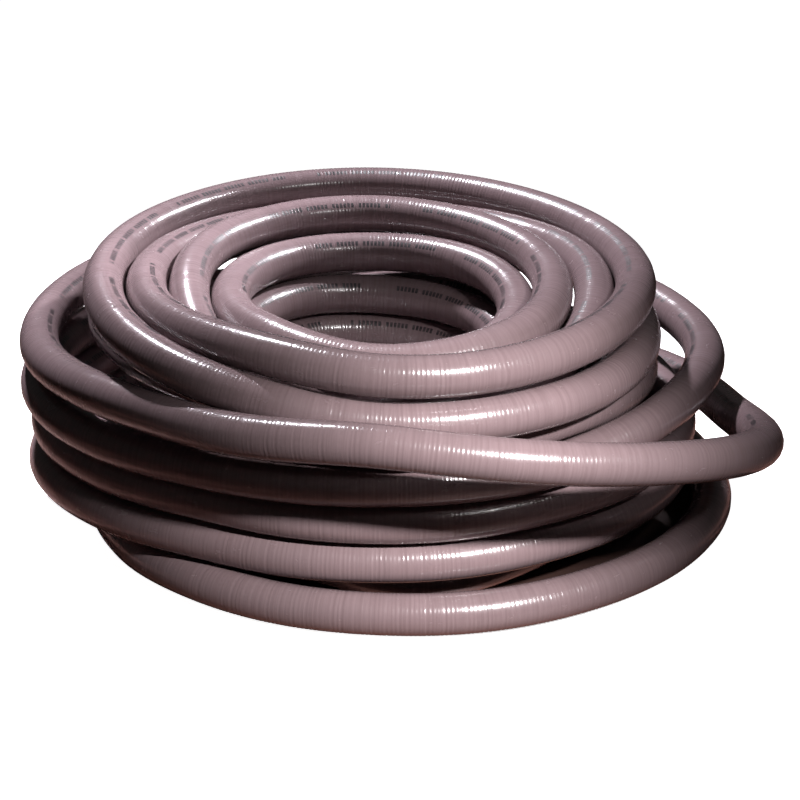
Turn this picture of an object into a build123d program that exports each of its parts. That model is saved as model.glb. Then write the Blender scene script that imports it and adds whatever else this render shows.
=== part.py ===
from build123d import *
import math
import os

import numpy as np

# A long smooth-bore hose wound into a free-standing coil, with a screw coupling clamped on each
# end. Millimetres. +Z is up, the coil rests on Z = 0, and the Z axis runs through the middle of
# the whole object. The front of the coil faces -Y, and the hose is wound counter-clockwise seen
# from above.

# ---- hose wall ----
HOSE_R = 16.7
WALL_SPLIT_R = 14.9  # the outer jacket meets the inner liner here
BORE_R = 13.3

# ---- lay of the coil ----
GAP = 1.0  # daylight aimed at between touching turns
PITCH = 2 * HOSE_R + GAP
FLOOR_Z = HOSE_R + 0.52  # leaves room for the dip between stations
CENTRE = Vector(13.92, 42.75, 0.0)  # middle of the whole object, from the middle of the hollow
STATIONS = 32  # stations round one turn while the turns settle
SPREAD = 4  # how far one push spreads along the hose
LEAN_LIMIT = 0.15  # extra room given to turns that cross at a slant
ARC_STEP = 2  # settled stations spanned by one pair of arcs
FRONT = -math.pi / 2

# Radii of the hidden columns at eight even stations of a turn, counter-clockwise from the front:
# front, front right, right, back right, back, back left, left, front left.
COLUMN_1 = (76, 89, 108, 110, 104, 111, 113, 92)
COLUMN_2 = (108, 122, 146, 150, 150, 152, 150, 128)
COLUMN_3 = (141, 157, 182, 190, 194, 192, 186, 161)

# The inner end starts at the front right, inside the hollow.
INNER_END = ((50, 92, 111, 106, 111, 113, 92), (25, 20, 22, 28, 33, 38, 43))

# The turns of the top and of the outer wall, in the order they were wound: the radii at the same
# eight stations, then the heights there.
TOP_4 = ((92, 108, 120, 120, 118, 118, 118, 127), (166, 178, 192, 196, 197, 200, 203, 204))
TOP_3 = ((141, 150, 152, 153, 157, 155, 152, 142), (203, 205, 208, 213, 217, 219, 217, 196))
TOP_2 = ((148, 165, 176, 186, 190, 187, 184, 187), (153, 185, 210, 205, 200, 208, 217, 218))
TOP_1 = ((197, 204, 208, 222, 231, 226, 220, 214), (217, 216, 214, 215, 217, 219, 218, 207))
SHOULDER = ((200, 212, 219, 228, 235, 228, 219, 185), (184, 178, 172, 174, 178, 181, 184, 181))
DROP = ((176, 193, 219, 235, 240, 238, 228, 200), (152, 146, 137, 110, 80, 48, 25, 17))
WALL_1 = ((197, 230, 286, 291, 288, 297, 274, 190), (17, 17, 17, 24, 33, 42, 50, 50))
WALL_2 = ((168, 193, 250, 272, 285, 299, 270, 190), (50, 50, 50, 58, 67, 76, 84, 84))
WALL_3 = ((170, 195, 252, 268, 284, 303, 277, 200), (84, 84, 84, 92, 100, 109, 117, 117))
WALL_4 = ((175, 200, 273, 268, 288, 312, 276, 226), (117, 128, 147, 149, 148, 149, 156, 176))
LOOSE = ((245, 294, 292, 314, 330), (187, 155, 97, 56, 28))
LOOSE_BULGE = 34  # how far the loose loop swings out past the front right

# ---- hose ends ----
STUB = 45.0  # straight hose at each end, under the clamp
TAIL_STATIONS = 4  # settled stations between the bending point and the outer end
HINGE_SLIT = 0.3

# ---- couplings, measured outward from the cut end of the hose ----
FLOW_R = 10.5
BARB_R = 13.25
BARB_ROOT_R = 12.3
BARBS = 6
BARB_PITCH = 6.0
BARB_LAND = 2.0
THREAD_PITCH = 2.209
MALE_R = 16.45
MALE_ROOT_R = 15.25
FEMALE_R = 15.4
FEMALE_ROOT_R = 16.6
THREADS = 7
NECK_R = 13.35
NECK_END = 6.0
HEAD_R = 15.2  # passes through the nut's thread, and the nut's lip pulls on it
HEAD_T = 3.5
LIP_FROM = 2.2
LIP_PLAY = 0.08
NUT_R = 20.0
LUG_R = 25.0
LUG_W = 9.0
LUG_T = 14.0
SEAL_T = 2.5
SEAL_R = 15.1
SEAL_BORE_R = 11.0
HEX_FROM = 0.4
HEX_T = 9.0
HEX_ACROSS = 37.0
EDGE = 0.8  # chamfer on turned edges
RUN_OUT = 1.0  # plain length past the last thread
THREAD_GAP = 1.5  # plain length between the hexagon and the first thread
SEAL_GAP = 0.5
LIP_GAP = 0.1  # slack between the head and the nut's lip
LUG_ROUND = 2.0

# ---- worm-drive clamps ----
BAND_W = 12.0
BAND_T = 0.8
BAND_PLAY = 0.05
BAND_FROM_END = 13.0
HOUSING_L = 16.0
HOUSING_W = 14.0
HOUSING_TOP = 26.0
HOUSING_ROUND = 3.0
HOUSING_PLAY = 0.05
SCREW_UP = 0.4  # screw's crests above the band
SCREW_R = 3.3
SCREW_CORE_R = 2.5
SCREW_PLAY = 0.08
SCREW_PITCH = 2.0
SCREW_TURNS = 8
SCREW_NECK = 0.5
SCREW_HEAD_R = 4.6
SCREW_HEAD_T = 4.5
SLOT_W = 1.2
SLOT_DEPTH = 1.6


def column(radii, turns, z_from, z_to):
    """A hidden column: whole turns of one radius profile that climb or fall evenly."""
    heights = np.linspace(z_from, z_to, 8 * turns, endpoint=False)
    return list(radii) * turns, list(heights)


def lay_rows():
    """Radii, heights and ease of movement at every eighth of a turn from the inner end."""
    parts = [
        INNER_END,
        column(COLUMN_1, 4, 46, 166),
        TOP_4,
        TOP_3,
        column(COLUMN_2, 4, 168, FLOOR_Z),
        column(COLUMN_3, 4, FLOOR_Z, 153),
        TOP_2,
        TOP_1,
        SHOULDER,
        DROP,
        WALL_1,
        WALL_2,
        WALL_3,
        WALL_4,
        LOOSE,
    ]
    radii = [r for part in parts for r in part[0]]
    heights = [z for part in parts for z in part[1]]
    ease = [0.1 if len(part[0]) <= 8 else 1.0 for part in parts for _ in part[0]]
    return radii, heights, ease


def halve(values):
    """Twice as many stations: a smooth curve's midpoints go between the given ones."""
    v = np.asarray(values, float)
    p = np.concatenate(([2 * v[0] - v[1]], v, [2 * v[-1] - v[-2]]))
    middle = (9 * (p[1:-2] + p[2:-1]) - p[:-3] - p[3:]) / 16
    out = np.empty(2 * len(v) - 1)
    out[0::2] = v
    out[1::2] = middle
    return out


def smooth(v, passes):
    """Spread values along the hose. Each end keeps its own."""
    v = np.array(v, float)
    for _ in range(passes):
        v[1:-1] = 0.25 * v[:-2] + 0.5 * v[1:-1] + 0.25 * v[2:]
    return v


def settle(r, z, ease, rounds=500):
    """Push neighbouring turns apart in each upright section until none of them touch."""
    for _ in range(rounds):
        dr = np.zeros_like(r)
        dz = np.zeros_like(z)
        length = 2 * math.pi * r / STATIONS
        slope_r = np.gradient(r) / length
        slope_z = np.gradient(z) / length
        for step in range(STATIONS, len(r), STATIONS):
            a = r[step:] - r[:-step]
            b = z[step:] - z[:-step]
            apart = np.maximum(np.hypot(a, b), 1.0)
            lean = np.maximum(
                (a * slope_r[step:] + b * slope_z[step:]) ** 2,
                (a * slope_r[:-step] + b * slope_z[:-step]) ** 2,
            )
            need = PITCH * (1 + np.minimum(0.5 * lean / apart**2, LEAN_LIMIT))
            push = 0.5 * np.clip(need - apart, 0, None) / apart
            later = ease[step:] / (ease[step:] + ease[:-step])
            dr[step:] += a * push * later
            dr[:-step] -= a * push * (1 - later)
            dz[step:] += b * push * later
            dz[:-step] -= b * push * (1 - later)
        dr[[0, -1]] = 0
        dz[[0, -1]] = 0
        r = r + smooth(dr, SPREAD)
        z = np.maximum(z + smooth(dz, SPREAD), FLOOR_Z)
    return r, z


def settled_points():
    """Centreline points of the whole hose, from the inner end to the outer end."""
    radii, heights, ease = lay_rows()
    r = halve(radii)
    bulge = 2 * (len(radii) - len(LOOSE[0])) + 3
    r[bulge - 1 : bulge + 2] += LOOSE_BULGE * np.array([0.25, 1.0, 0.25])
    r = halve(r)
    z = halve(halve(heights))
    ease = smooth(np.repeat(ease, 4)[: len(r)], 2 * STATIONS)
    r, z = settle(r, z, ease)
    first = STATIONS // 8
    angle = FRONT + 2 * math.pi * (np.arange(len(r)) + first) / STATIONS
    x = r * np.cos(angle) - CENTRE.X
    y = r * np.sin(angle) - CENTRE.Y
    return np.column_stack((x, y, z))


def biarc(start, start_way, end, end_way):
    """Two arcs that leave start along start_way, meet smoothly and reach end along end_way."""
    span = end - start
    ways = start_way + end_way
    a = ways.dot(ways) - 4
    b = -2 * span.dot(ways)
    reach = (-b - math.sqrt(b * b - 4 * a * span.dot(span))) / (2 * a)
    leave = start + start_way * reach
    arrive = end - end_way * reach
    meet = (leave + arrive) / 2
    first = TangentArc(start, meet, tangent=start_way, mode=Mode.PRIVATE)
    second = TangentArc(meet, end, tangent=arrive - leave, mode=Mode.PRIVATE)
    return [first, second]


def arc_run(points, ways):
    """One smooth run of arcs through the points, with the given direction at each."""
    edges = []
    for k in range(len(points) - 1):
        edges += biarc(points[k], ways[k], points[k + 1], ways[k + 1])
    return edges


def hose_runs():
    """The wires of the fixed coil and of the free tail, each with its straight stub."""
    xyz = settled_points()
    middle = xyz[2:] - xyz[:-2]
    ways = [Vector(1, 0, 0)] + [Vector(*m).normalized() for m in middle] + [Vector(-1, 0, 0)]
    points = [Vector(*p) for p in xyz]
    bend = len(points) - 1 - TAIL_STATIONS
    kept = [0] + list(range(bend % ARC_STEP + ARC_STEP, bend + 1, ARC_STEP))
    inner_tip = points[0] - ways[0] * STUB
    coil = [Line(inner_tip, points[0], mode=Mode.PRIVATE)]
    coil += arc_run([points[k] for k in kept], [ways[k] for k in kept])
    kept = list(range(bend, len(points), ARC_STEP))
    tail_points = [points[k] for k in kept]
    tail_points[0] = tail_points[0] + ways[bend] * HINGE_SLIT
    outer_tip = points[-1] + ways[-1] * STUB
    tail = arc_run(tail_points, [ways[k] for k in kept])
    tail += [Line(points[-1], outer_tip, mode=Mode.PRIVATE)]
    return Wire(coil), Wire(tail), inner_tip, outer_tip, points[bend], ways[bend]


def rod(run, radius):
    """A solid rod swept along a run."""
    with BuildPart() as swept:
        with BuildSketch(Plane(origin=run @ 0, z_dir=run % 0)):
            Circle(radius)
        sweep(path=run)
    return swept.part


def tube(run, outer_r, inner_r):
    """A long tube along a run: two swept skins, closed at both ends by a flat ring."""
    skins = []
    rims = []
    for radius in (outer_r, inner_r):
        faces = rod(run, radius).faces()
        skins += [face for face in faces if face.geom_type != GeomType.PLANE]
        caps = faces.filter_by(GeomType.PLANE).sort_by_distance(run @ 0)
        rims.append([cap.outer_wire() for cap in caps])
    rings = [Face(outer, [inner]) for outer, inner in zip(*rims)]
    return Solid(Shell(skins + rings))


def turning_plane(tip):
    """Sketch plane for a turned coupling: X is the radius, Y runs out of the hose."""
    return Plane(origin=tip, x_dir=(0, 0, 1), z_dir=(0, -1, 0))


def turning_axis(tip):
    """The hose's axis at a cut end, pointing out of the hose."""
    return Axis(tip, (-1, 0, 0))


def shank_points():
    """Barbed shank inside the hose, from its inner tip out to the cut end."""
    start = -BARBS * BARB_PITCH - BARB_LAND
    points = [(FLOW_R, start), (BARB_ROOT_R, start)]
    for k in range(1, BARBS + 1):
        points += [(BARB_R, start + k * BARB_PITCH), (BARB_ROOT_R, start + k * BARB_PITCH)]
    return points + [(BARB_ROOT_R, 0)]


def thread_points(crest_r, root_r, start):
    """One side of a thread drawn as even ridges, running outward from start."""
    points = []
    for k in range(THREADS):
        y = start + k * THREAD_PITCH
        points += [
            (root_r, y),
            (crest_r, y + 0.35 * THREAD_PITCH),
            (crest_r, y + 0.65 * THREAD_PITCH),
        ]
    return points + [(root_r, start + THREADS * THREAD_PITCH)]


# ---- hose ----
coil_run, tail_run, inner_tip, outer_tip, bend_point, bend_way = hose_runs()

with BuildPart() as hose_jacket_coil:
    add(tube(coil_run, HOSE_R, WALL_SPLIT_R))

with BuildPart() as hose_liner_coil:
    add(tube(coil_run, WALL_SPLIT_R, BORE_R))

with BuildPart() as hose_jacket_tail:
    add(tube(tail_run, HOSE_R, WALL_SPLIT_R))

with BuildPart() as hose_liner_tail:
    add(tube(tail_run, WALL_SPLIT_R, BORE_R))

# ---- outer end: tailpiece, swivel nut and seal ----
head_end = NECK_END + HEAD_T
thread_from = head_end + SEAL_T + SEAL_GAP
nut_end = thread_from + THREADS * THREAD_PITCH + RUN_OUT

with BuildPart() as swivel_tailpiece:
    with BuildSketch(turning_plane(outer_tip)):
        with BuildLine():
            Polyline(
                *shank_points(),
                (NECK_R, 0),
                (NECK_R, NECK_END),
                (HEAD_R, NECK_END),
                (HEAD_R, head_end),
                (FLOW_R, head_end),
                close=True,
            )
        make_face()
    revolve(axis=turning_axis(outer_tip))

with BuildPart() as swivel_nut:
    with BuildSketch(turning_plane(outer_tip)):
        with BuildLine():
            Polyline(
                (NECK_R + LIP_PLAY, LIP_FROM),
                (NUT_R - EDGE, LIP_FROM),
                (NUT_R, LIP_FROM + EDGE),
                (NUT_R, nut_end - EDGE),
                (NUT_R - EDGE, nut_end),
                (FEMALE_ROOT_R, nut_end),
                *reversed(thread_points(FEMALE_R, FEMALE_ROOT_R, thread_from)),
                (FEMALE_ROOT_R, NECK_END - LIP_GAP),
                (NECK_R + LIP_PLAY, NECK_END - LIP_GAP),
                close=True,
            )
        make_face()
    revolve(axis=turning_axis(outer_tip))
    lug_plane = Plane(origin=outer_tip, x_dir=(0, 0, 1), z_dir=(-1, 0, 0))
    with BuildSketch(lug_plane.offset((LIP_FROM + nut_end - LUG_T) / 2)):
        with PolarLocations((NUT_R + LUG_R - LUG_ROUND) / 2, 2, start_angle=90):
            RectangleRounded(LUG_R - NUT_R + LUG_ROUND, LUG_W, LUG_ROUND)
    extrude(amount=LUG_T)

with BuildPart() as seal_washer:
    with BuildSketch(lug_plane.offset(head_end)):
        Circle(SEAL_R)
        Circle(SEAL_BORE_R, mode=Mode.SUBTRACT)
    extrude(amount=SEAL_T)

# ---- inner end: male adapter ----
male_from = HEX_FROM + HEX_T + THREAD_GAP
male_end = male_from + THREADS * THREAD_PITCH + RUN_OUT

with BuildPart() as male_adapter:
    with BuildSketch(turning_plane(inner_tip)):
        with BuildLine():
            Polyline(
                *shank_points(),
                (MALE_ROOT_R, HEX_FROM + EDGE),
                *thread_points(MALE_R, MALE_ROOT_R, male_from),
                (MALE_ROOT_R, male_end),
                (FLOW_R, male_end),
                close=True,
            )
        make_face()
    revolve(axis=turning_axis(inner_tip))
    hex_plane = Plane(origin=inner_tip, x_dir=(0, 0, 1), z_dir=(-1, 0, 0))
    with BuildSketch(hex_plane.offset(HEX_FROM)):
        RegularPolygon(HEX_ACROSS / 2, 6, major_radius=False)
        Circle(BARB_ROOT_R, mode=Mode.SUBTRACT)
    extrude(amount=HEX_T)


# ---- worm-drive clamp, one on each end ----
def clamp_band(tip):
    """Stainless band round the hose."""
    with BuildPart() as band:
        with BuildSketch(Plane(origin=tip, x_dir=(0, 0, 1), z_dir=(1, 0, 0)).offset(BAND_FROM_END)):
            Circle(HOSE_R + BAND_PLAY + BAND_T)
            Circle(HOSE_R + BAND_PLAY, mode=Mode.SUBTRACT)
        extrude(amount=BAND_W)
    return band


def screw_centre(tip):
    """Middle of the worm screw, above the middle of the band."""
    up = HOSE_R + BAND_PLAY + BAND_T + SCREW_UP + SCREW_R
    return tip + Vector(BAND_FROM_END + BAND_W / 2, 0, up)


def clamp_housing(tip):
    """Saddle that holds the worm screw across the top of the band."""
    middle = tip + Vector(BAND_FROM_END + BAND_W / 2, 0, 0)
    with BuildPart() as housing:
        with BuildSketch(Plane(origin=middle)):
            Rectangle(HOUSING_W, HOUSING_L)
        extrude(amount=HOUSING_TOP)
        top = housing.edges().filter_by(Axis.Y).group_by(Axis.Z)[-1]
        fillet(top, HOUSING_ROUND)
        with BuildSketch(Plane(origin=middle, z_dir=(1, 0, 0))):
            Circle(HOSE_R + BAND_PLAY + BAND_T + HOUSING_PLAY)
        extrude(amount=HOUSING_W, both=True, mode=Mode.SUBTRACT)
        with BuildSketch(Plane(origin=screw_centre(tip), z_dir=(0, 1, 0))):
            Circle(SCREW_R + SCREW_PLAY)
        extrude(amount=HOUSING_L, both=True, mode=Mode.SUBTRACT)
    return housing


def clamp_screw(tip):
    """Worm screw with a slotted hexagon head on the outward side."""
    centre = screw_centre(tip)
    half = SCREW_TURNS * SCREW_PITCH / 2
    head_from = half + SCREW_NECK
    points = [(0, -half)]
    for k in range(SCREW_TURNS):
        y = -half + k * SCREW_PITCH
        points += [
            (SCREW_CORE_R, y),
            (SCREW_R, y + 0.25 * SCREW_PITCH),
            (SCREW_R, y + 0.6 * SCREW_PITCH),
            (SCREW_CORE_R, y + 0.85 * SCREW_PITCH),
        ]
    with BuildPart() as screw:
        with BuildSketch(Plane(origin=centre, x_dir=(0, 0, 1), z_dir=(1, 0, 0))):
            with BuildLine():
                Polyline(*points, (SCREW_CORE_R, head_from), (0, head_from), close=True)
            make_face()
        revolve(axis=Axis(centre, (0, 1, 0)))
        head_plane = Plane(origin=centre, x_dir=(0, 0, 1), z_dir=(0, -1, 0)).offset(head_from)
        with BuildSketch(head_plane):
            RegularPolygon(SCREW_HEAD_R, 6)
        extrude(amount=SCREW_HEAD_T)
        with BuildSketch(head_plane.offset(SCREW_HEAD_T - SLOT_DEPTH)):
            Rectangle(2 * SCREW_HEAD_R, SLOT_W)
        extrude(amount=SLOT_DEPTH, mode=Mode.SUBTRACT)
    return screw


inner_clamp_band = clamp_band(inner_tip)
inner_clamp_housing = clamp_housing(inner_tip)
inner_clamp_screw = clamp_screw(inner_tip)
outer_clamp_band = clamp_band(outer_tip)
outer_clamp_housing = clamp_housing(outer_tip)
outer_clamp_screw = clamp_screw(outer_tip)

pieces = {
    "hose_jacket_coil": hose_jacket_coil,
    "hose_liner_coil": hose_liner_coil,
    "hose_jacket_tail": hose_jacket_tail,
    "hose_liner_tail": hose_liner_tail,
    "swivel_tailpiece": swivel_tailpiece,
    "swivel_nut": swivel_nut,
    "seal_washer": seal_washer,
    "male_adapter": male_adapter,
    "inner_clamp_band": inner_clamp_band,
    "inner_clamp_housing": inner_clamp_housing,
    "inner_clamp_screw": inner_clamp_screw,
    "outer_clamp_band": outer_clamp_band,
    "outer_clamp_housing": outer_clamp_housing,
    "outer_clamp_screw": outer_clamp_screw,
}
os.makedirs("parts", exist_ok=True)
for name, piece in pieces.items():
    piece.part.label = name
    export_step(piece.part, f"parts/{name}.step")
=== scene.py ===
import math

import bmesh
import bpy
import numpy as np
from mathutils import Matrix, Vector


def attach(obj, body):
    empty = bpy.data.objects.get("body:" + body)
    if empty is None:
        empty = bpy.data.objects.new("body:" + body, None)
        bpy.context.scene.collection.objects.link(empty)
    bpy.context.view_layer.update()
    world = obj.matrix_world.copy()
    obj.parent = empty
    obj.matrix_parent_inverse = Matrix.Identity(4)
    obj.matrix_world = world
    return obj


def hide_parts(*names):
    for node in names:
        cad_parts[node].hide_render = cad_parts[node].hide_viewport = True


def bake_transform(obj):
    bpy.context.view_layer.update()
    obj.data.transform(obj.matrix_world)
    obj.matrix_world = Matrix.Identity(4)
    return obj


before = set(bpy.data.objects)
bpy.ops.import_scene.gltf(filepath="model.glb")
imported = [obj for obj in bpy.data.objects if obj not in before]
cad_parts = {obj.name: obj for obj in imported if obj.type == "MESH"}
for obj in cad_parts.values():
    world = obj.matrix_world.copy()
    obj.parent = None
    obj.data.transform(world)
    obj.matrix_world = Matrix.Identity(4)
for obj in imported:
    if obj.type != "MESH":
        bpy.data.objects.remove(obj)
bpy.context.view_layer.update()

# A free-standing coil of smooth-bore PVC hose with a clamped coupling on each end. Everything is
# in metres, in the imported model's frame. Lengths whose names end in MM are millimetres.

# ---- the hose wall ----
HOSE_R = 0.0167
SPLIT_R = 0.0149
BORE_R = 0.0133
RIB_PITCH = 0.00335
RIB_DEPTH = 0.00018
RIB_RINGS = 3  # two on the crest and one in the groove
RIB_UNEVEN = (0.3, 1.4)  # least depth of a groove and the random part on top, per RIB_DEPTH
AROUND = 22  # vertices round the hose
INNER_STEP = 0.012  # ring spacing of the skins that show no grooves
NEAR = 0.002  # reach of the difference that gives the hose's direction
BEND_REACH = 0.07  # the hose bends this far either side of where the tail leaves the coil

# ---- the lay of the coil, the same as the CAD part's, in millimetres ----
HOSE_R_MM = 16.7
PITCH_MM = 2 * HOSE_R_MM + 1.0
FLOOR_MM = HOSE_R_MM + 0.52
CENTRE_MM = (13.92, 42.75)
STUB_MM = 45.0
STATIONS = 32  # points on each turn
SPREAD = 4  # smoothing passes on every push between turns
LEAN_LIMIT = 0.15  # most extra room, as a share, for turns that cross at a slant
ARC_STEP = 2  # one point in this many is a knot of the curve
TAIL_STATIONS = 4  # the tail hinges this many points before the last
LOOSE_BULGE = 34  # how far the loose loop swings out past the right

# Radii at eight even stations of a turn, counter-clockwise from the front, then the heights.
COLUMN_1 = (76, 89, 108, 110, 104, 111, 113, 92)
COLUMN_2 = (108, 122, 146, 150, 150, 152, 150, 128)
COLUMN_3 = (141, 157, 182, 190, 194, 192, 186, 161)
INNER_END = ((50, 92, 111, 106, 111, 113, 92), (25, 20, 22, 28, 33, 38, 43))
TOP_4 = ((92, 108, 120, 120, 118, 118, 118, 127), (166, 178, 192, 196, 197, 200, 203, 204))
TOP_3 = ((141, 150, 152, 153, 157, 155, 152, 142), (203, 205, 208, 213, 217, 219, 217, 196))
TOP_2 = ((148, 165, 176, 186, 190, 187, 184, 187), (153, 185, 210, 205, 200, 208, 217, 218))
TOP_1 = ((197, 204, 208, 222, 231, 226, 220, 214), (217, 216, 214, 215, 217, 219, 218, 207))
SHOULDER = ((200, 212, 219, 228, 235, 228, 219, 185), (184, 178, 172, 174, 178, 181, 184, 181))
DROP = ((176, 193, 219, 235, 240, 238, 228, 200), (152, 146, 137, 110, 80, 48, 25, 17))
WALL_1 = ((197, 230, 286, 291, 288, 297, 274, 190), (17, 17, 17, 24, 33, 42, 50, 50))
WALL_2 = ((168, 193, 250, 272, 285, 299, 270, 190), (50, 50, 50, 58, 67, 76, 84, 84))
WALL_3 = ((170, 195, 252, 268, 284, 303, 277, 200), (84, 84, 84, 92, 100, 109, 117, 117))
WALL_4 = ((175, 200, 273, 268, 288, 312, 276, 226), (117, 128, 147, 149, 148, 149, 156, 176))
LOOSE = ((245, 294, 292, 314, 330), (187, 155, 97, 56, 28))


def column(radii, turns, z_from, z_to):
    heights = np.linspace(z_from, z_to, 8 * turns, endpoint=False)
    return list(radii) * turns, list(heights)


def lay_rows():
    parts = [
        INNER_END,
        column(COLUMN_1, 4, 46, 166),
        TOP_4,
        TOP_3,
        column(COLUMN_2, 4, 168, FLOOR_MM),
        column(COLUMN_3, 4, FLOOR_MM, 153),
        TOP_2,
        TOP_1,
        SHOULDER,
        DROP,
        WALL_1,
        WALL_2,
        WALL_3,
        WALL_4,
        LOOSE,
    ]
    radii = [r for part in parts for r in part[0]]
    heights = [z for part in parts for z in part[1]]
    ease = [0.1 if len(part[0]) <= 8 else 1.0 for part in parts for _ in part[0]]
    return radii, heights, ease


def halve(values):
    v = np.asarray(values, float)
    p = np.concatenate(([2 * v[0] - v[1]], v, [2 * v[-1] - v[-2]]))
    middle = (9 * (p[1:-2] + p[2:-1]) - p[:-3] - p[3:]) / 16
    out = np.empty(2 * len(v) - 1)
    out[0::2] = v
    out[1::2] = middle
    return out


def smooth(v, passes):
    v = np.array(v, float)
    for _ in range(passes):
        v[1:-1] = 0.25 * v[:-2] + 0.5 * v[1:-1] + 0.25 * v[2:]
    return v


def settle(r, z, ease, rounds=500):
    """Push neighbouring turns apart until none of them touch, as the CAD part does."""
    for _ in range(rounds):
        dr = np.zeros_like(r)
        dz = np.zeros_like(z)
        length = 2 * math.pi * r / STATIONS
        slope_r = np.gradient(r) / length
        slope_z = np.gradient(z) / length
        for step in range(STATIONS, len(r), STATIONS):
            a = r[step:] - r[:-step]
            b = z[step:] - z[:-step]
            apart = np.maximum(np.hypot(a, b), 1.0)
            lean = np.maximum(
                (a * slope_r[step:] + b * slope_z[step:]) ** 2,
                (a * slope_r[:-step] + b * slope_z[:-step]) ** 2,
            )
            need = PITCH_MM * (1 + np.minimum(0.5 * lean / apart**2, LEAN_LIMIT))
            push = 0.5 * np.clip(need - apart, 0, None) / apart
            later = ease[step:] / (ease[step:] + ease[:-step])
            dr[step:] += a * push * later
            dr[:-step] -= a * push * (1 - later)
            dz[step:] += b * push * later
            dz[:-step] -= b * push * (1 - later)
        dr[[0, -1]] = 0
        dz[[0, -1]] = 0
        r = r + smooth(dr, SPREAD)
        z = np.maximum(z + smooth(dz, SPREAD), FLOOR_MM)
    return r, z


def settled_points():
    """Centreline points in millimetres, from the inner end to the outer end."""
    radii, heights, ease = lay_rows()
    r = halve(radii)
    bulge = 2 * (len(radii) - len(LOOSE[0])) + 3
    r[bulge - 1 : bulge + 2] += LOOSE_BULGE * np.array([0.25, 1.0, 0.25])
    r = halve(r)
    z = halve(halve(heights))
    ease = smooth(np.repeat(ease, 4)[: len(r)], 2 * STATIONS)
    r, z = settle(r, z, ease)
    first = STATIONS // 8
    angle = -math.pi / 2 + 2 * math.pi * (np.arange(len(r)) + first) / STATIONS
    x = r * np.cos(angle) - CENTRE_MM[0]
    y = r * np.sin(angle) - CENTRE_MM[1]
    return np.column_stack((x, y, z))


class Path:
    """The hose's centreline by length along it, in metres."""

    def __init__(self):
        xyz = settled_points()
        ways = np.zeros_like(xyz)
        ways[1:-1] = xyz[2:] - xyz[:-2]
        ways[0] = (1, 0, 0)
        ways[-1] = (-1, 0, 0)
        ways /= np.linalg.norm(ways, axis=1)[:, None]
        bend = len(xyz) - 1 - TAIL_STATIONS
        kept = [0] + list(range(bend % ARC_STEP + ARC_STEP, len(xyz), ARC_STEP))
        runs = [xyz[0] - ways[0] * np.linspace(STUB_MM, 0, 40, endpoint=False)[:, None]]
        for a, b in zip(kept[:-1], kept[1:]):
            if a == bend:
                self.bend_at = sum(len(run) for run in runs)
            runs.append(self.curve(xyz[a], ways[a], xyz[b], ways[b]))
        runs.append(xyz[-1] + ways[-1] * np.linspace(0, STUB_MM, 41)[:, None])
        p = np.vstack(runs) / 1000
        step = np.linalg.norm(np.diff(p, axis=0), axis=1)
        self.p = p
        self.s = np.concatenate(([0], np.cumsum(step)))
        self.bend = self.s[self.bend_at]
        self.length = self.s[-1]

    @staticmethod
    def curve(a, way_a, b, way_b, n=24):
        """A smooth cubic from a to b that leaves and arrives along the given ways."""
        size = np.linalg.norm(b - a)
        t = np.linspace(0, 1, n, endpoint=False)[:, None]
        return (
            (2 * t**3 - 3 * t**2 + 1) * a
            + (t**3 - 2 * t**2 + t) * size * way_a
            + (3 * t**2 - 2 * t**3) * b
            + (t**3 - t**2) * size * way_b
        )

    def at(self, s):
        return np.column_stack([np.interp(s, self.s, self.p[:, k]) for k in range(3)])

    def frames(self, s):
        """Centre, up and inward directions at each length; inward is left of the way wound."""
        way = self.at(s + NEAR) - self.at(s - NEAR)
        way /= np.linalg.norm(way, axis=1)[:, None]
        inward = np.cross((0, 0, 1), way)
        inward /= np.linalg.norm(inward, axis=1)[:, None]
        return self.at(s), np.cross(way, inward), inward


path = Path()


# ---- meshes ----
def skin(s, radius, around):
    """Vertices of a swept skin: one ring of the given radius at each length s."""
    centre, up, inward = path.frames(s)
    angle = 2 * math.pi * np.arange(around) / around - math.pi
    ring = np.cos(angle)[None, :, None] * up[:, None]
    ring = ring + np.sin(angle)[None, :, None] * inward[:, None]
    size = np.broadcast_to(np.asarray(radius, float), s.shape)
    return (centre[:, None] + ring * size[:, None, None]).reshape(-1, 3)


def strip(rings, around, base, flip):
    """Quads of a swept skin whose first vertex is base, and their ring and spoke numbers."""
    k, j = np.meshgrid(np.arange(rings - 1), np.arange(around), indexing="ij")
    k, j = k.ravel(), j.ravel()
    n = (j + 1) % around
    quads = np.column_stack(
        (k * around + j, k * around + n, (k + 1) * around + n, (k + 1) * around + j)
    )
    row = np.column_stack((k, k, k + 1, k + 1))
    spoke = np.column_stack((j, j + 1, j + 1, j))
    if flip:
        quads, row, spoke = quads[:, ::-1], row[:, ::-1], spoke[:, ::-1]
    return quads + base, row, spoke


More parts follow.
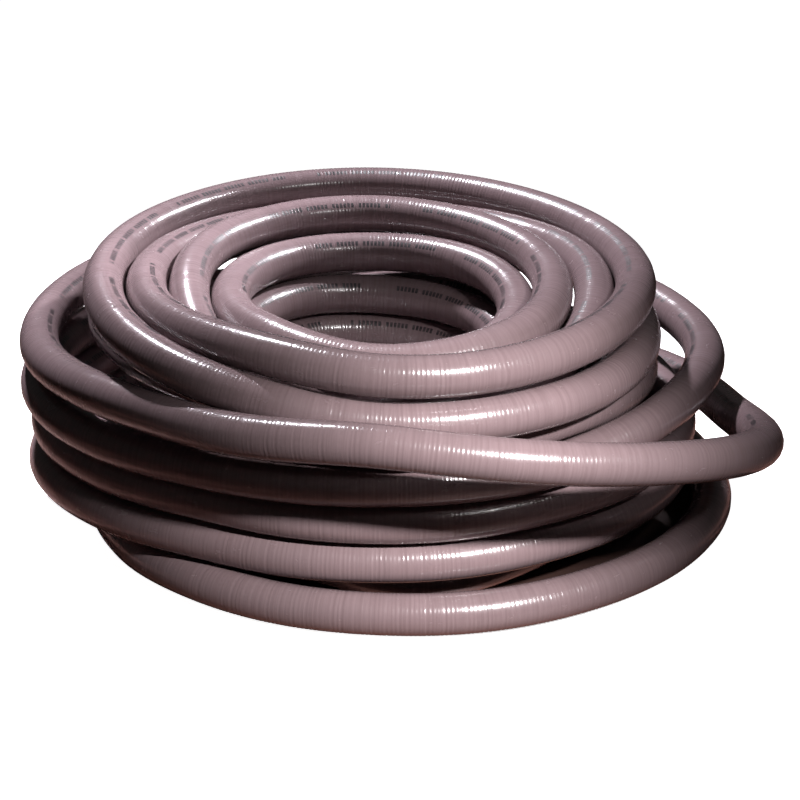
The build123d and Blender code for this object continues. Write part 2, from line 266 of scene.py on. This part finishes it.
def tube(name, s_out, r_out, s_in, r_in, around, turn):
    """A closed tube with its own outer and inner stations. UV is (length, way round the hose)."""
    outer = skin(s_out, r_out, around)
    inner = skin(s_in, r_in, around)
    q1, row1, spoke1 = strip(len(s_out), around, 0, True)
    q2, row2, spoke2 = strip(len(s_in), around, len(outer), False)
    j = np.arange(around)
    n = (j + 1) % around
    base = len(outer)
    last_o, last_i = (len(s_out) - 1) * around, base + (len(s_in) - 1) * around
    cap1 = np.column_stack((j, n, base + n, base + j))
    cap2 = np.column_stack((last_o + n, last_o + j, last_i + j, last_i + n))
    quads = np.vstack((q1, q2, cap1, cap2))
    mesh = bpy.data.meshes.new(name)
    verts = np.vstack((outer, inner))
    mesh.vertices.add(len(verts))
    mesh.vertices.foreach_set("co", verts.astype(np.float32).ravel())
    mesh.loops.add(4 * len(quads))
    mesh.loops.foreach_set("vertex_index", quads.astype(np.int32).ravel())
    mesh.polygons.add(len(quads))
    mesh.polygons.foreach_set("loop_start", np.arange(0, 4 * len(quads), 4, dtype=np.int32))
    smooth_faces = np.ones(len(quads), bool)
    smooth_faces[-2 * around :] = False
    mesh.polygons.foreach_set("use_smooth", smooth_faces)
    mesh.update(calc_edges=True)
    uv = np.zeros((4 * len(quads), 2))
    lengths = np.concatenate((s_out[row1].ravel(), s_in[row2].ravel()))
    spokes = np.concatenate((spoke1.ravel(), spoke2.ravel())) / around
    uv[: len(lengths), 0] = lengths
    uv[: len(lengths), 1] = spokes - turn(lengths) / (2 * math.pi)
    layer = mesh.uv_layers.new(name="UVMap")
    layer.data.foreach_set("uv", uv.astype(np.float32).ravel())
    mark_sharp_rims(mesh, quads, around)
    o = bpy.data.objects.new(name, mesh)
    bpy.context.scene.collection.objects.link(o)
    return o


def mark_sharp_rims(mesh, quads, around):
    """The rims of the two end faces are sharp, so the long skins shade smoothly up to them."""
    rim = set(quads[-2 * around :].ravel().tolist())
    pairs = np.zeros(2 * len(mesh.edges), np.int32)
    mesh.edges.foreach_get("vertices", pairs)
    mask = np.zeros(len(mesh.vertices), bool)
    mask[list(rim)] = True
    pairs = pairs.reshape(-1, 2)
    ends = mask[pairs[:, 0]] & mask[pairs[:, 1]]
    attribute = mesh.attributes.get("sharp_edge")
    if attribute is None:
        attribute = mesh.attributes.new("sharp_edge", "BOOLEAN", "EDGE")
    attribute.data.foreach_set("value", ends)


def print_angle(s):
    """How far the row of ticks sits from the top of the hose towards the hollow."""
    share = s / path.length
    return math.radians(30) + math.radians(14) * np.sin(9 * share + 0.6)


def hose_pieces():
    """The jacket and the liner, each cut where the tail starts to bend."""
    rng = np.random.default_rng(7)
    step = RIB_PITCH / RIB_RINGS
    count = int(path.length / step)
    s = np.linspace(0, path.length, count + 1)
    shallow, extra = RIB_UNEVEN
    depth = RIB_DEPTH * (shallow + extra * rng.random(count + 1))
    groove = np.arange(count + 1) % RIB_RINGS == RIB_RINGS - 1
    wave = HOSE_R - np.where(groove, depth, 0.0)
    cut_a = int((path.bend - BEND_REACH) / step) // RIB_RINGS * RIB_RINGS
    cut_b = int((path.bend + BEND_REACH) / step) // RIB_RINGS * RIB_RINGS
    out = {}
    for key, a, b in (("coil", 0, cut_a), ("bend", cut_a, cut_b), ("tail", cut_b, count)):
        run = s[a : b + 1]
        inner = np.linspace(run[0], run[-1], max(3, int((run[-1] - run[0]) / INNER_STEP)))
        out["hose_jacket_" + key] = tube(
            "hose_jacket_" + key + "_run", run, wave[a : b + 1], inner, SPLIT_R, AROUND, print_angle
        )
        out["hose_liner_" + key] = tube(
            "hose_liner_" + key + "_run", inner, SPLIT_R, inner, BORE_R, AROUND, print_angle
        )
    return out, s[cut_a], s[cut_b]


# ---- materials ----
PVC_LIGHT = (0.178, 0.126, 0.132)
PVC_DARK = (0.145, 0.104, 0.109)
PVC_SHADE = (0.085, 0.055, 0.057)
INK = (0.010, 0.007, 0.009)

# The rows of ticks that stand where the real hose carries print, in metres along the hose.
TICK_PITCH = 0.0036
TICK_SHARE = 0.68
WORD_PITCH = 0.0252
WORD_SHARE = 0.86
GROUP_PITCH = 0.150
GROUP_SHARE = 0.80
TICK_HALF = 0.021  # half of the row's height, as a share of the way round the hose

STEEL_CLEAN = (0.62, 0.62, 0.63)
STEEL_STAINED = (0.45, 0.44, 0.43)


class Nodes:
    """Short calls for a material's node tree."""

    def __init__(self, name):
        self.material = bpy.data.materials.new(name)
        self.material.use_nodes = True
        self.tree = self.material.node_tree
        self.shader = self.tree.nodes["Principled BSDF"]

    def put(self, socket, value):
        if isinstance(value, bpy.types.NodeSocket):
            self.tree.links.new(value, socket)
        elif isinstance(value, tuple) and len(value) == 3 and socket.type == "RGBA":
            socket.default_value = (*value, 1)
        else:
            socket.default_value = value

    def set(self, **values):
        for key, value in values.items():
            self.put(self.shader.inputs[key.replace("_", " ")], value)

    def math(self, operation, a, b=0.0):
        node = self.tree.nodes.new("ShaderNodeMath")
        node.operation = operation
        self.put(node.inputs[0], a)
        self.put(node.inputs[1], b)
        return node.outputs[0]

    def mix(self, share, a, b):
        node = self.tree.nodes.new("ShaderNodeMix")
        node.data_type = "RGBA"
        self.put(node.inputs["Factor"], share)
        self.put(node.inputs[6], a)
        self.put(node.inputs[7], b)
        return node.outputs[2]

    def noise(self, vector, scale, detail=3.0, rough=0.5):
        node = self.tree.nodes.new("ShaderNodeTexNoise")
        self.put(node.inputs["Vector"], vector)
        node.inputs["Scale"].default_value = scale
        node.inputs["Detail"].default_value = detail
        node.inputs["Roughness"].default_value = rough
        return node.outputs["Fac"]

    def remap(self, value, low, high, to_low, to_high):
        node = self.tree.nodes.new("ShaderNodeMapRange")
        self.put(node.inputs[0], value)
        for k, v in enumerate((low, high, to_low, to_high)):
            node.inputs[k + 1].default_value = v
        return node.outputs[0]

    def coords(self, kind="Object"):
        return self.tree.nodes.new("ShaderNodeTexCoord").outputs[kind]

    def stretched(self, vector, scale):
        node = self.tree.nodes.new("ShaderNodeMapping")
        self.put(node.inputs["Vector"], vector)
        node.inputs["Scale"].default_value = scale
        return node.outputs[0]

    def split(self, vector):
        node = self.tree.nodes.new("ShaderNodeSeparateXYZ")
        self.put(node.inputs[0], vector)
        return node.outputs[0], node.outputs[1]

    def bump(self, height, distance, strength):
        node = self.tree.nodes.new("ShaderNodeBump")
        self.put(node.inputs["Height"], height)
        node.inputs["Distance"].default_value = distance
        node.inputs["Strength"].default_value = strength
        return node.outputs[0]


def jacket_material():
    m = Nodes("hose_pvc")
    uv = m.coords("UV")
    s, v = m.split(uv)
    rings = m.noise(m.stretched(uv, (420.0, 0.7, 1.0)), 1.0, 2.0)
    broad = m.noise(m.coords(), 9.0, 3.0)
    scuff = m.noise(m.stretched(uv, (60.0, 9.0, 1.0)), 1.0, 5.0, 0.65)
    base = m.mix(m.remap(broad, 0.3, 0.7, 0.0, 1.0), PVC_DARK, PVC_LIGHT)
    base = m.mix(m.remap(rings, 0.35, 0.65, 0.0, 0.28), base, PVC_SHADE)
    off_line = m.math("ABSOLUTE", m.math("SUBTRACT", v, 0.5))
    tick = m.math("LESS_THAN", off_line, TICK_HALF)
    rows = ((TICK_PITCH, TICK_SHARE), (WORD_PITCH, WORD_SHARE), (GROUP_PITCH, GROUP_SHARE))
    for pitch, share in rows:
        inked = m.math("LESS_THAN", m.math("FRACT", m.math("DIVIDE", s, pitch)), share)
        tick = m.math("MULTIPLY", tick, inked)
    worn = m.remap(m.noise(m.stretched(uv, (300.0, 40.0, 1.0)), 1.0, 2.0), 0.35, 0.6, 0.8, 1.0)
    ink = m.math("MULTIPLY", tick, worn)
    base = m.mix(ink, base, INK)
    rough = m.remap(scuff, 0.3, 0.75, 0.18, 0.30)
    fine = m.noise(m.stretched(uv, (620.0, 5.0, 1.0)), 1.0, 2.0)
    m.set(
        Base_Color=base,
        Roughness=m.math("ADD", rough, m.math("MULTIPLY", ink, 0.2)),
        Normal=m.bump(fine, 0.00020, 0.7),
        Coat_Weight=0.22,
        Coat_Roughness=0.12,
        IOR=1.5,
    )
    return m.material


def plastic_material(name, colour, shade, rough, grain):
    m = Nodes(name)
    where = m.coords()
    broad = m.noise(where, 60.0, 3.0)
    fine = m.noise(where, grain, 4.0, 0.6)
    m.set(
        Base_Color=m.mix(m.remap(broad, 0.3, 0.7, 0.0, 1.0), colour, shade),
        Roughness=m.remap(fine, 0.3, 0.7, rough - 0.06, rough + 0.08),
        Normal=m.bump(fine, 0.0001, 0.6),
    )
    return m.material


def steel_material(name, brushed):
    m = Nodes(name)
    where = m.coords()
    lines = m.noise(m.stretched(where, brushed), 1.0, 4.0, 0.6)
    stain = m.noise(where, 120.0, 3.0)
    m.set(
        Base_Color=m.mix(m.remap(stain, 0.4, 0.7, 0.0, 0.5), STEEL_CLEAN, STEEL_STAINED),
        Metallic=1.0,
        Roughness=m.remap(lines, 0.3, 0.7, 0.2, 0.42),
        Normal=m.bump(lines, 0.00004, 0.5),
    )
    return m.material


pvc = jacket_material()
liner = plastic_material("liner_pvc", (0.10, 0.085, 0.09), (0.075, 0.064, 0.068), 0.35, 900.0)
nylon = plastic_material("nylon", (0.018, 0.018, 0.020), (0.028, 0.028, 0.030), 0.38, 1500.0)
rubber = plastic_material("seal_rubber", (0.010, 0.010, 0.010), (0.020, 0.019, 0.018), 0.62, 700.0)
band_steel = steel_material("band_steel", (40.0, 900.0, 900.0))
screw_steel = steel_material("screw_steel", (900.0, 60.0, 900.0))

CARRIED = {
    "swivel_tailpiece": nylon,
    "swivel_nut": nylon,
    "male_adapter": nylon,
    "seal_washer": rubber,
    "inner_clamp_band": band_steel,
    "inner_clamp_housing": band_steel,
    "inner_clamp_screw": screw_steel,
    "outer_clamp_band": band_steel,
    "outer_clamp_housing": band_steel,
    "outer_clamp_screw": screw_steel,
}


def paint(o, material):
    o.data.materials.clear()
    o.data.materials.append(material)


# ---- the object ----
pieces, blend_from, blend_to = hose_pieces()
for key, o in pieces.items():
    jacket = key.startswith("hose_jacket")
    paint(o, pvc if jacket else liner)
for kind in ("hose_jacket_", "hose_liner_"):
    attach(pieces[kind + "coil"], "coil")
    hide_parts(kind + "coil")
    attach(pieces[kind + "tail"], "tail")
    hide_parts(kind + "tail")
    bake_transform(pieces[kind + "bend"])
for node, material in CARRIED.items():
    paint(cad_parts[node], material)


# ---- floor, light and camera ----
FLOOR_BOUNCE = (0.20, 0.09, 0.07)  # the floor's colour as the hose is lit by it
# Painted shade: inside the lowest turn the floor is near-black to the camera and does not glow.
FOOTPRINT_AT = (0.030, 0.0)  # middle of the floor that the lowest turn shuts in
FOOTPRINT_R = 0.240
FOOTPRINT_EDGE = 0.006
FOOTPRINT_PAINTED_SHADE = (0.030, 0.014, 0.011)
FLOOR_GLOW = 1.0  # keeps the floor pale where the camera sees it
WORLD_LIT, WORLD_SEEN = 0.03, 1.0  # the world's strength as light and as a backdrop


def floor():
    mesh = bpy.data.meshes.new("floor")
    bm = bmesh.new()
    bmesh.ops.create_grid(bm, x_segments=8, y_segments=8, size=6.0)
    bm.to_mesh(mesh)
    bm.free()
    o = bpy.data.objects.new("floor", mesh)
    bpy.context.scene.collection.objects.link(o)
    m = Nodes("floor_paint")
    grain = m.noise(m.coords(), 3.0, 3.0)
    seen = m.tree.nodes.new("ShaderNodeLightPath").outputs["Is Camera Ray"]
    pale = m.mix(grain, (0.90, 0.885, 0.885), (0.93, 0.92, 0.92))
    x, y = m.split(m.coords())
    x = m.math("SUBTRACT", x, FOOTPRINT_AT[0])
    y = m.math("SUBTRACT", y, FOOTPRINT_AT[1])
    off = m.math("SQRT", m.math("ADD", m.math("MULTIPLY", x, x), m.math("MULTIPLY", y, y)))
    near, far = FOOTPRINT_R - FOOTPRINT_EDGE, FOOTPRINT_R + FOOTPRINT_EDGE
    # painted shade within the footprint: a near-black colour and no glow there
    outside_painted_shade = m.remap(off, near, far, 0.0, 1.0)
    m.set(
        Base_Color=m.mix(seen, FLOOR_BOUNCE, m.mix(outside_painted_shade, FOOTPRINT_PAINTED_SHADE, pale)),
        Roughness=0.55,
        Emission_Color=(1.0, 0.99, 0.99),
        Emission_Strength=m.math("MULTIPLY", m.math("MULTIPLY", seen, outside_painted_shade), FLOOR_GLOW),
    )
    paint(o, m.material)


def from_angle(azimuth, elevation, distance, aim):
    """A place seen from aim at an azimuth right of the front and an elevation."""
    a, e = math.radians(azimuth), math.radians(elevation)
    way = Vector((math.sin(a) * math.cos(e), -math.cos(a) * math.cos(e), math.sin(e)))
    return Vector(aim) + way * distance


def aimed(name, data, at, aim):
    """An object at one place that looks at another."""
    o = bpy.data.objects.new(name, data)
    o.location = at
    o.rotation_euler = (Vector(aim) - Vector(at)).to_track_quat("-Z", "Y").to_euler()
    bpy.context.scene.collection.objects.link(o)
    return o


def area(name, azimuth, elevation, aim, size, power, colour):
    light = bpy.data.lights.new(name, "AREA")
    light.shape = "RECTANGLE"
    light.size, light.size_y = size
    light.energy = power
    light.color = colour
    aimed(name, light, from_angle(azimuth, elevation, LIGHT_DISTANCE, aim), aim)


def spot(name, azimuth, elevation, aim, radius, cone, edge, power, colour):
    light = bpy.data.lights.new(name, "SPOT")
    light.shadow_soft_size = radius
    light.spot_size = math.radians(cone)
    light.spot_blend = edge
    light.energy = power
    light.color = colour
    aimed(name, light, from_angle(azimuth, elevation, LIGHT_DISTANCE, aim), aim)


LIGHT_DISTANCE = 2.6
WHOLE = (0.0, -0.03, 0.12)
BACK = (-0.11, 0.26, 0.20)
LEFT = (-0.22, -0.05, 0.20)
FRONT = (0.05, -0.22, 0.11)
WARM = (1.0, 0.98, 0.97)
PINK = (1.0, 0.975, 0.98)
COOL = (0.95, 0.93, 1.0)
BLUE = (0.96, 0.95, 1.0)

floor()
area("glint", 41, 47, WHOLE, (0.46, 0.07), 7, WARM)
spot("rim", -150, 60, BACK, 0.10, 18.4, 0.12, 880, COOL)
spot("left_rim", 118, 40, LEFT, 0.08, 7.4, 0.8, 760, BLUE)
spot("key", 33, 42, FRONT, 0.08, 9.3, 1.0, 1020, PINK)

world = bpy.data.worlds.new("studio")
world.use_nodes = True
tree = world.node_tree
tree.nodes["Background"].inputs["Color"].default_value = (1.0, 0.985, 0.985, 1)
seen = tree.nodes.new("ShaderNodeLightPath").outputs["Is Camera Ray"]
level = tree.nodes.new("ShaderNodeMapRange")
level.inputs["To Min"].default_value = WORLD_LIT
level.inputs["To Max"].default_value = WORLD_SEEN
tree.links.new(seen, level.inputs["Value"])
tree.links.new(level.outputs[0], tree.nodes["Background"].inputs["Strength"])
bpy.context.scene.world = world
bpy.context.scene.view_settings.view_transform = "Standard"

CAMERA_AIM = (0.00708, -0.04275, 0.110)
CAMERA_ELEVATION = 24.5
CAMERA_DISTANCE = 2.05
FOCAL_LENGTH_MM = 110.5
lens = bpy.data.cameras.new("camera")
lens.lens = FOCAL_LENGTH_MM
seat = from_angle(0, CAMERA_ELEVATION, CAMERA_DISTANCE, CAMERA_AIM)
bpy.context.scene.camera = aimed("camera", lens, seat, CAMERA_AIM)
